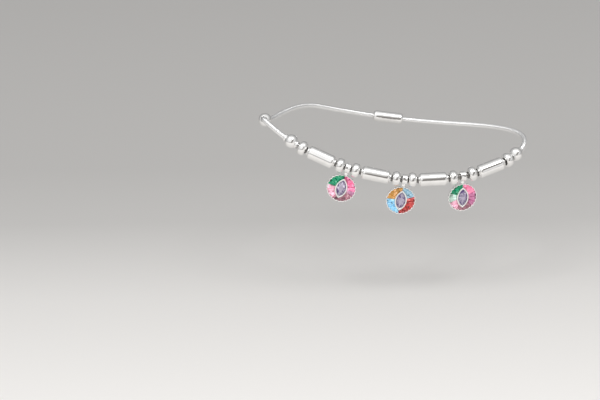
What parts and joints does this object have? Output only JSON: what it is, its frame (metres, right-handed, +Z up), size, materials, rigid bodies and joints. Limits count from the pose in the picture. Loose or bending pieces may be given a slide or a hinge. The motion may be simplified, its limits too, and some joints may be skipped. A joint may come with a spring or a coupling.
{
  "type": "anklet",
  "caption": "Silver anklet: smooth snake chain through ball, rondelle and tube beads, with round stone-set charms hanging on tube bails.",
  "frame": {"origin": "middle of the worn loop, where the axis of the ankle passes through it, at the chain's mean height", "axes": "+Z up along the leg, +X from the front of the ankle to the heel, the beaded side with the charms faces -Y"},
  "size_m": [0.1005, 0.0626, 0.0334],
  "materials": {
    "chain_silver": "bright silver snake chain",
    "polished_silver": "high polish silver",
    "setting_silver": "high polish silver",
    "lavender_stone": "faceted, polished",
    "pink_stone": "faceted, polished",
    "magenta_stone": "faceted, polished",
    "mauve_stone": "faceted, polished",
    "rose_stone": "faceted, polished",
    "green_stone": "faceted, polished",
    "sea_green_stone": "faceted, polished",
    "aqua_stone": "faceted, polished",
    "sky_stone": "faceted, polished",
    "red_stone": "faceted, polished",
    "amber_stone": "faceted, polished",
    "salmon_stone": "faceted, polished",
    "orchid_stone": "faceted, polished"
  },
  "bodies": {
    "strand": {"chain": "chain_silver", "clasp": "polished_silver", "ball_1": "polished_silver", "ball_2": "polished_silver", "ball_3": "polished_silver", "rondelle_1": "polished_silver", "rondelle_2": "polished_silver", "rondelle_3": "polished_silver", "rondelle_4": "polished_silver", "rondelle_5": "polished_silver", "rondelle_6": "polished_silver", "rondelle_7": "polished_silver", "rondelle_8": "polished_silver", "tube_1": "polished_silver", "tube_2": "polished_silver", "tube_3": "polished_silver", "tube_4": "polished_silver"},
    "charm_1": {"setting_1": "setting_silver", "marquise_1": "lavender_stone", "stones_1_pink": "pink_stone", "stones_1_magenta": "magenta_stone", "stones_1_mauve": "mauve_stone", "stones_1_rose": "rose_stone", "stones_1_green": "green_stone"},
    "charm_2": {"setting_2": "setting_silver", "marquise_2": "lavender_stone", "stones_2_aqua": "aqua_stone", "stones_2_red": "red_stone", "stones_2_sky": "sky_stone", "stones_2_amber": "amber_stone"},
    "charm_3": {"setting_3": "setting_silver", "marquise_3": "lavender_stone", "stones_3_salmon": "salmon_stone", "stones_3_orchid": "orchid_stone", "stones_3_mauve": "mauve_stone", "stones_3_rose": "rose_stone", "stones_3_sea_green": "sea_green_stone", "stones_3_green": "green_stone"}
  },
  "joints": [
    {"name": "charm_1_swing", "type": "hinge", "parent": "strand", "child": "charm_1", "pos_m": [-0.01664, -0.02801, -0.00311], "axis": [0.9466, -0.1182, -0.2999], "continuous": true},
    {"name": "charm_2_swing", "type": "hinge", "parent": "strand", "child": "charm_2", "pos_m": [0.00397, -0.02894, -0.00751], "axis": [0.9936, 0.027, -0.1096], "continuous": true},
    {"name": "charm_3_swing", "type": "hinge", "parent": "strand", "child": "charm_3", "pos_m": [0.02531, -0.02654, -0.00758], "axis": [0.9718, 0.2129, 0.1017], "continuous": true}
  ]
}
